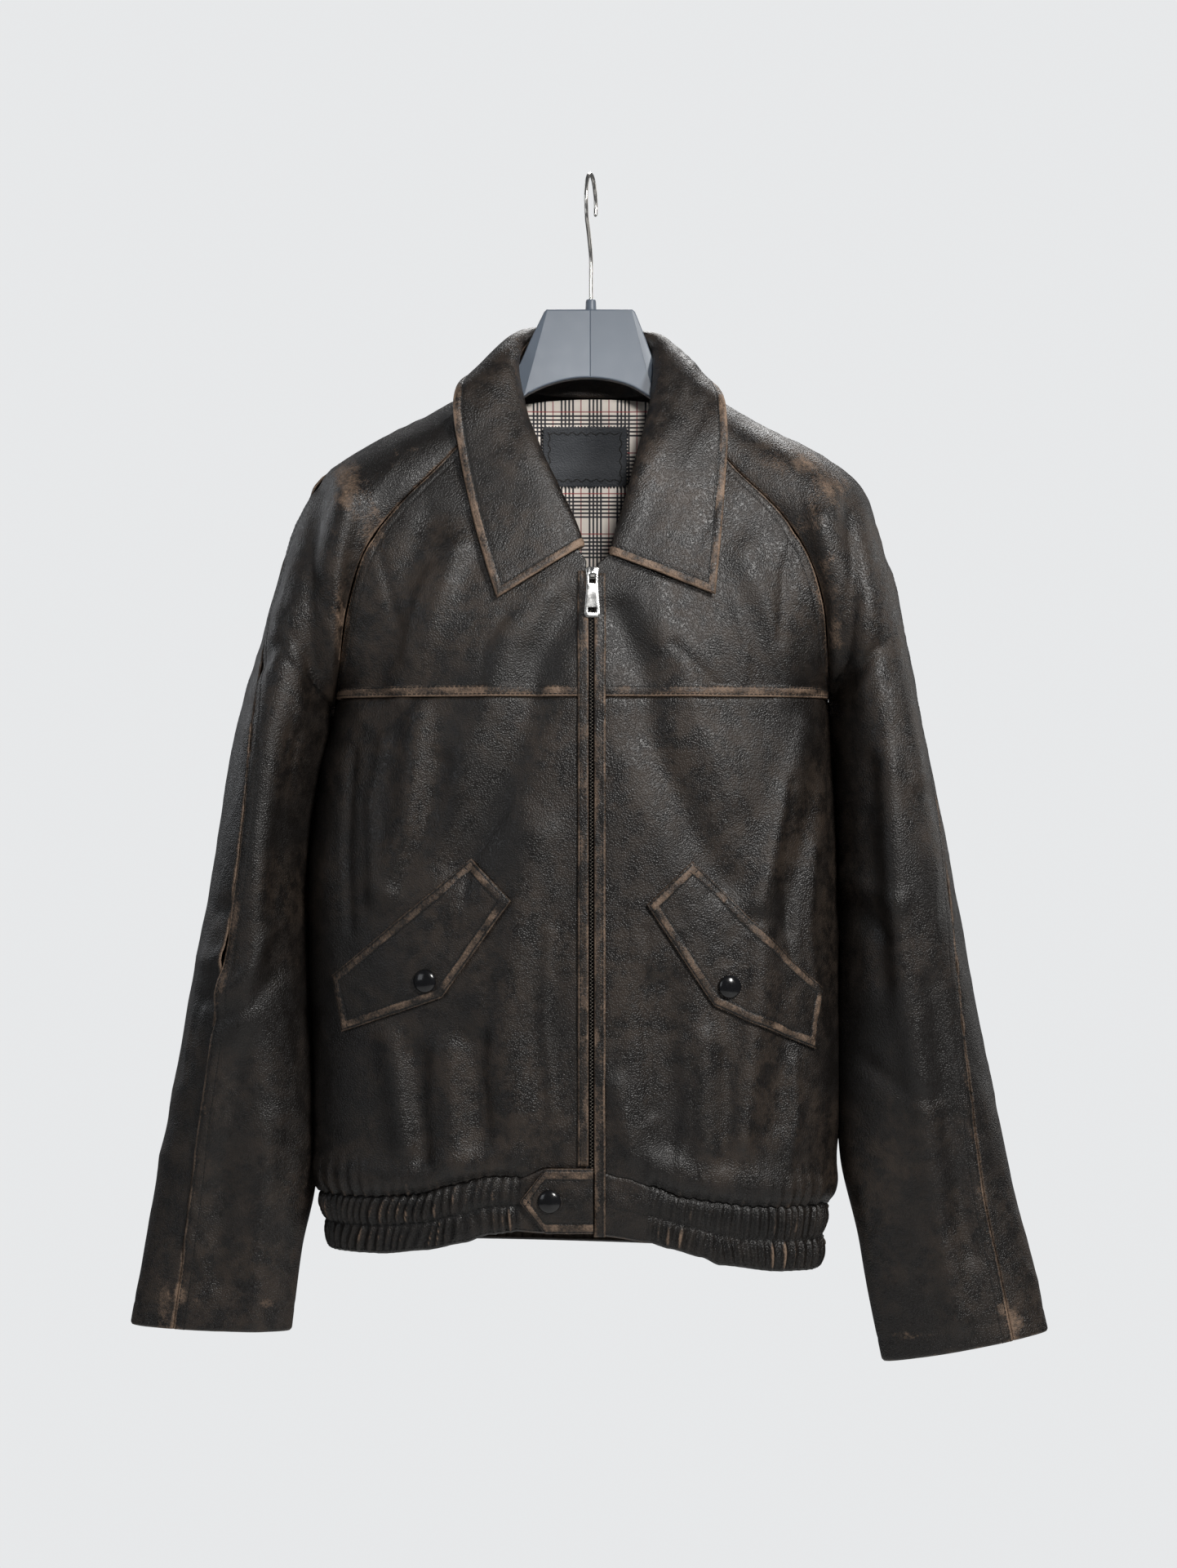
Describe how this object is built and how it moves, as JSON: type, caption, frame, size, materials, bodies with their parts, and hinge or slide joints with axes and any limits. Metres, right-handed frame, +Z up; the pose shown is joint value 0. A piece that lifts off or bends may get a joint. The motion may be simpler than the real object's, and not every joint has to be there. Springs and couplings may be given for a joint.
{
  "type": "worn leather jacket on a plastic hanger",
  "caption": "Worn black-brown leather jacket with raglan sleeves and a plaid lining, zipped and hanging on a grey plastic hanger.",
  "frame": {"origin": "inside top of the hanger's hook, where a rail holds it", "axes": "+Z up, -Y the jacket's front, +X the wearer's left"},
  "size_m": [0.6838, 0.1895, 0.887],
  "materials": {
    "leather": "worn black-brown leather, semi-gloss, edges rubbed brown",
    "lining": "cream cotton lining with a dark and red check",
    "patch": "matt near-black patch",
    "tape": "black zip tape",
    "nickel": "bright nickel",
    "snap_black": "glossy black lacquer on a metal cap",
    "hanger_grey": "satin blue-grey moulding"
  },
  "bodies": {
    "garment": {"right_sleeve_front": "leather", "right_sleeve_back": "leather", "right_front_yoke": "leather", "right_front": "leather", "right_pocket_flap": "leather", "right_zip_strip": "leather", "waistband_right": "leather", "right_flap_snap": "snap_black", "left_sleeve_front": "leather", "left_sleeve_back": "leather", "left_front_yoke": "leather", "left_front": "leather", "left_pocket_flap": "leather", "left_zip_strip": "leather", "waistband_left": "leather", "left_flap_snap": "snap_black", "back_panel": "leather", "waistband_back": "leather", "belt_tab": "leather", "collar_fall": "leather", "collar_stand": "leather", "belt_tab_snap": "snap_black", "back_lining": "lining", "neck_label": "patch", "zip_tape": "tape", "zip_slider": "nickel", "hanger_body": "hanger_grey", "hanger_boss": "nickel", "hanger_hook": "nickel"},
    "pull": {"zip_pull": "nickel"}
  },
  "joints": [
    {"name": "pull_swing", "type": "hinge", "parent": "garment", "child": "pull", "pos_m": [0.001, -0.08594, -0.3015], "axis": [-1, 0, 0], "range_deg": [0, 150]}
  ]
}
